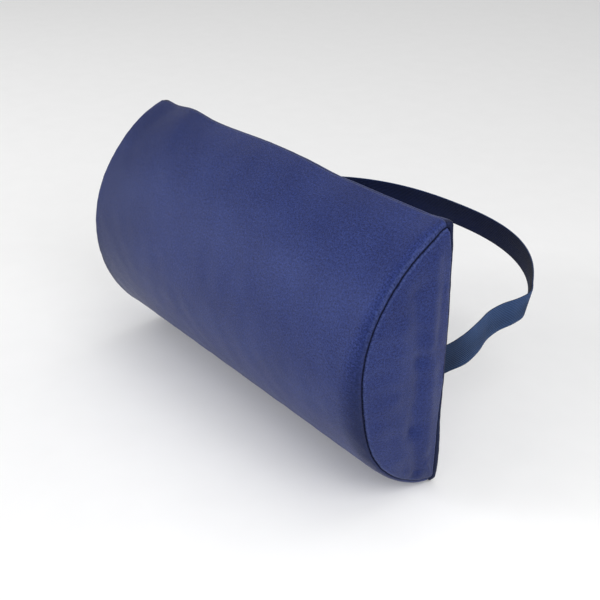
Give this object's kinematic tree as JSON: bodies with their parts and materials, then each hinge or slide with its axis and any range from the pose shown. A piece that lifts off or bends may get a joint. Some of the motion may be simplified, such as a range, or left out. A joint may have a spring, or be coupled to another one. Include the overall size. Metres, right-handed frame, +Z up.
{
  "type": "lumbar support cushion",
  "caption": "Half-round foam lumbar cushion in a zipped navy cloth cover, with an elastic strap that loops round a chair's backrest.",
  "frame": {"origin": "middle of the flat back face", "axes": "+X along the roll's length, +Y out of the flat back face towards the chair, +Z up the back; the crown faces -Y"},
  "size_m": [0.35, 0.2776, 0.208],
  "materials": {
    "cover_cloth": "fine plain weave with a slight sheen",
    "seam_cloth": "overlocked raw edges",
    "foam": "matte open-cell foam",
    "strap_elastic": "ribbed woven elastic",
    "zip_tape": "woven tape",
    "zip_coil": "satin nylon",
    "zip_metal": "satin"
  },
  "bodies": {
    "cushion": {"foam_core": "foam", "front_panel": "cover_cloth", "back_panel_upper": "cover_cloth", "back_panel_lower": "cover_cloth", "end_panel_right": "cover_cloth", "end_panel_left": "cover_cloth", "seam_allowance_right": "seam_cloth", "seam_allowance_left": "seam_cloth", "seam_allowance_top": "seam_cloth", "seam_allowance_bottom": "seam_cloth", "zip_tape_upper": "zip_tape", "zip_tape_lower": "zip_tape", "zip_coil_upper": "zip_coil", "zip_coil_lower": "zip_coil", "zip_top_stop_upper": "zip_metal", "zip_top_stop_lower": "zip_metal", "zip_bottom_stop": "zip_metal", "strap_end_right": "strap_elastic", "strap_end_left": "strap_elastic"},
    "strap": {"strap_loop": "strap_elastic"},
    "slider": {"zip_slider": "zip_metal"},
    "pull": {"zip_pull": "zip_metal"}
  },
  "joints": [
    {"name": "strap_swing", "type": "hinge", "parent": "cushion", "child": "strap", "pos_m": [0, 0.014, 0], "axis": [1, 0, 0], "range_deg": [-85, 85], "stiffness_Nm_per_rad": 0.05, "deforming": ["strap_end_right", "strap_end_left"]},
    {"name": "zip_slide", "type": "slide", "parent": "cushion", "child": "slider", "axis": [-1, 0, 0], "range_m": [0, 0.272], "deforming": ["zip_coil_upper", "zip_coil_lower"]},
    {"name": "zip_pull_flip", "type": "hinge", "parent": "slider", "child": "pull", "pos_m": [0.14025, 0.0037, -0.058], "axis": [0, 0, -1], "range_deg": [0, 180]}
  ]
}
